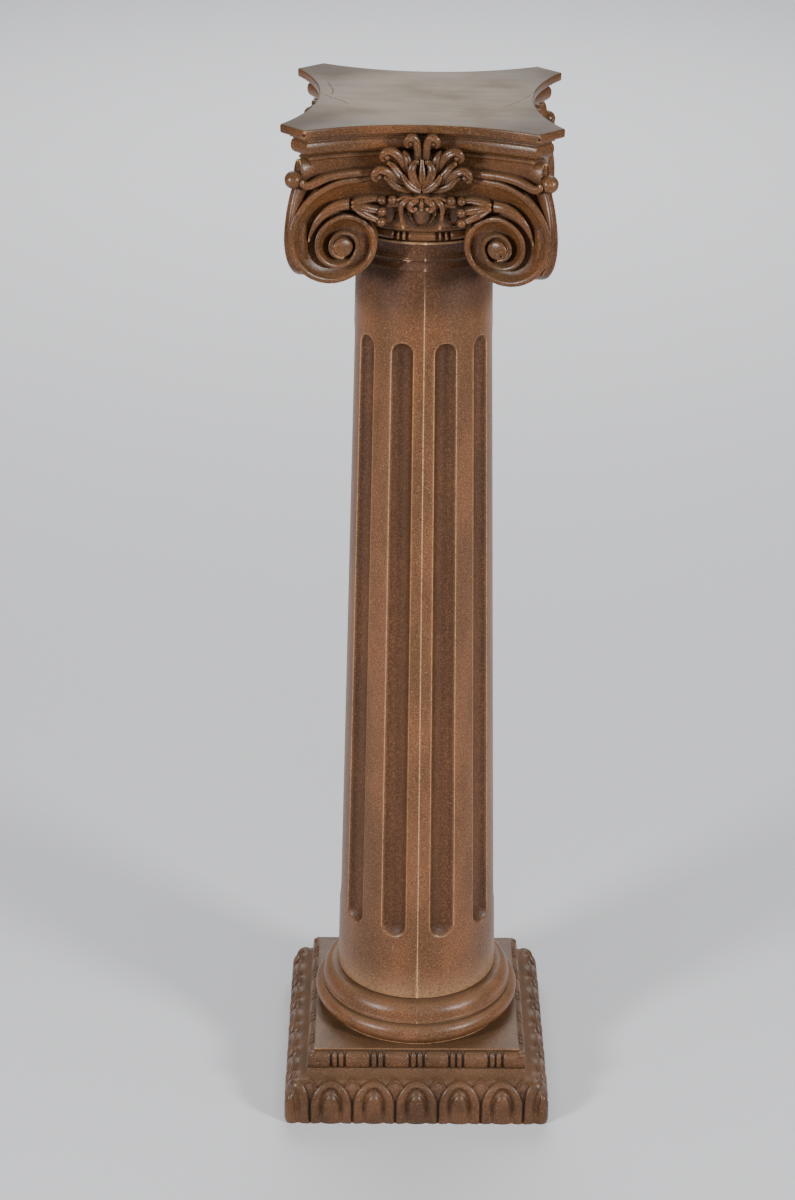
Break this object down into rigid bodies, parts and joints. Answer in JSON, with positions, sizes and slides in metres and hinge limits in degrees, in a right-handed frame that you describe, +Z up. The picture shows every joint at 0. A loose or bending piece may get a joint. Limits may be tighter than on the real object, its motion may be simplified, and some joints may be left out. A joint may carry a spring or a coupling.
{
  "type": "pedestal column",
  "caption": "Cast resin pedestal column: fluted tapering shaft on a leaf-carved square plinth, with an angular Ionic capital and a flat abacus to stand things on.",
  "frame": {"origin": "middle of the plinth's underside, on the ground", "axes": "+Z up along the shaft, +X to the right of the front, the front face of the plinth towards -Y"},
  "size_m": [0.263, 0.263, 1],
  "materials": {
    "plinth_resin": "cast polyester resin stained brown like old wood, satin, dark stain left in the leaf grooves, dust grey on the upward faces",
    "shaft_resin": "cast polyester resin stained brown, satin, finely mottled, with a light mould seam down the front",
    "capital_resin": "cast polyester resin stained brown, satin, darker in the carving, rubbed lighter on edges, greyish and cracked on top"
  },
  "bodies": {
    "root": {"plinth": "plinth_resin", "shaft": "shaft_resin", "capital": "capital_resin"}
  },
  "joints": []
}
